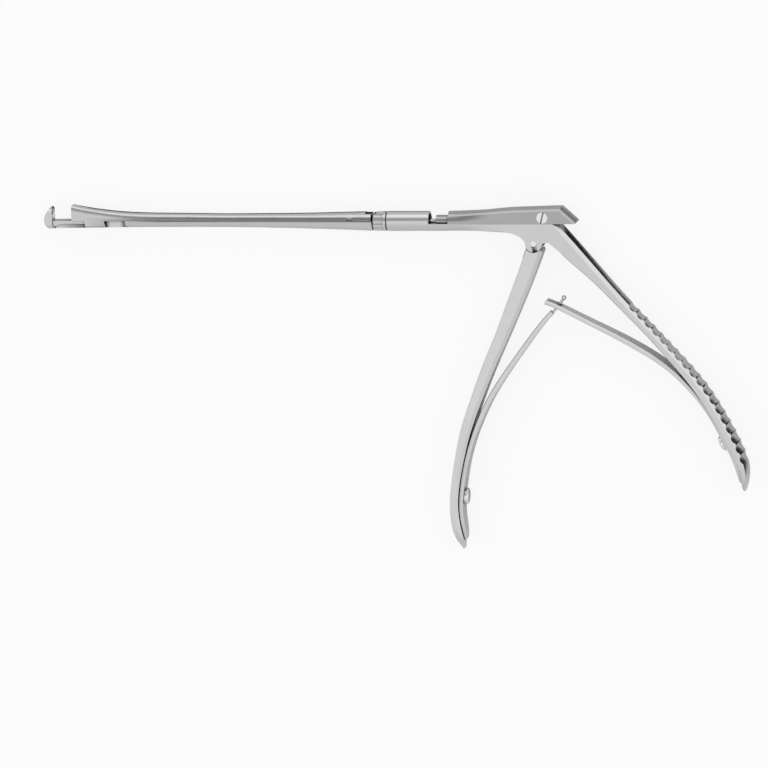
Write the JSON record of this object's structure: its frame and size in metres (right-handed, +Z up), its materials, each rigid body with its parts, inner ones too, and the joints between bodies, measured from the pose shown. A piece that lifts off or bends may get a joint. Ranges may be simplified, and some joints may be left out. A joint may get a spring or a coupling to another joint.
{
  "type": "bone rongeur",
  "caption": "Bone-cutting punch: sliding shaft with hooked jaw, turning ring, sprung plier handles and a slide that closes the jaw.",
  "frame": {"origin": "middle of the outline's box, on the surface that the instrument lies on", "axes": "+X along the shaft from the jaw to the handles' end, +Y from the handles to the shaft, +Z up from the surface, square to the instrument's flat side"},
  "size_m": [0.2202, 0.1096, 0.0092],
  "materials": {
    "shaft_steel": "satin",
    "handle_steel": "satin",
    "spring_steel": "polished",
    "pin_steel": "polished"
  },
  "bodies": {
    "frame_body": {"frame": "handle_steel", "rear_spring_screw": "pin_steel"},
    "lever": {"front_handle": "handle_steel", "pivot_pin": "pin_steel", "front_spring_screw": "pin_steel"},
    "driver": {"drive_slide": "handle_steel", "slide_screw": "pin_steel"},
    "shaft": {"fixed_shaft": "shaft_steel", "rotation_ring": "shaft_steel", "ring_pin": "pin_steel", "retaining_nut": "pin_steel", "spring_washer": "pin_steel"},
    "cutter": {"cutting_slide": "shaft_steel", "push_rod": "pin_steel", "rod_pin": "pin_steel"},
    "rear_spring": {"rear_leaf_spring": "spring_steel"},
    "front_spring": {"front_leaf_spring": "spring_steel"}
  },
  "joints": [
    {"name": "lever_pivot", "type": "hinge", "parent": "frame_body", "child": "lever", "pos_m": [0.04602, 0.04288, 0.0046], "axis": [0, 0, 1], "range_deg": [0, 41.65], "stiffness_Nm_per_rad": 0.6, "springref_deg": -11.46},
    {"name": "driver_travel", "type": "slide", "parent": "frame_body", "child": "driver", "axis": [-1, 0, 0], "range_m": [0, 0.0062]},
    {"name": "shaft_rotation", "type": "hinge", "parent": "frame_body", "child": "shaft", "pos_m": [-0.00308, 0.04948, 0.0046], "axis": [1, 0, 0], "continuous": true},
    {"name": "cutter_travel", "type": "slide", "parent": "shaft", "child": "cutter", "axis": [-1, 0, 0], "range_m": [0, 0.0062]},
    {"name": "rear_spring_flex", "type": "hinge", "parent": "frame_body", "child": "rear_spring", "pos_m": [0.09472, -0.00612, 0.0046], "axis": [0, 0, 1], "range_deg": [-12.6, 0], "deforming": ["rear_leaf_spring"]},
    {"name": "front_spring_flex", "type": "hinge", "parent": "lever", "child": "front_spring", "pos_m": [0.02422, -0.01982, 0.0046], "axis": [0, 0, 1], "range_deg": [0, 6.9], "deforming": ["front_leaf_spring"]}
  ],
  "couplings": [
    {"joint": "driver_travel", "follows": "lever_pivot", "m_per_rad": 0.008529},
    {"joint": "cutter_travel", "follows": "lever_pivot", "m_per_rad": 0.008529},
    {"joint": "rear_spring_flex", "follows": "lever_pivot", "ratio": -0.295},
    {"joint": "front_spring_flex", "follows": "lever_pivot", "ratio": 0.16}
  ]
}
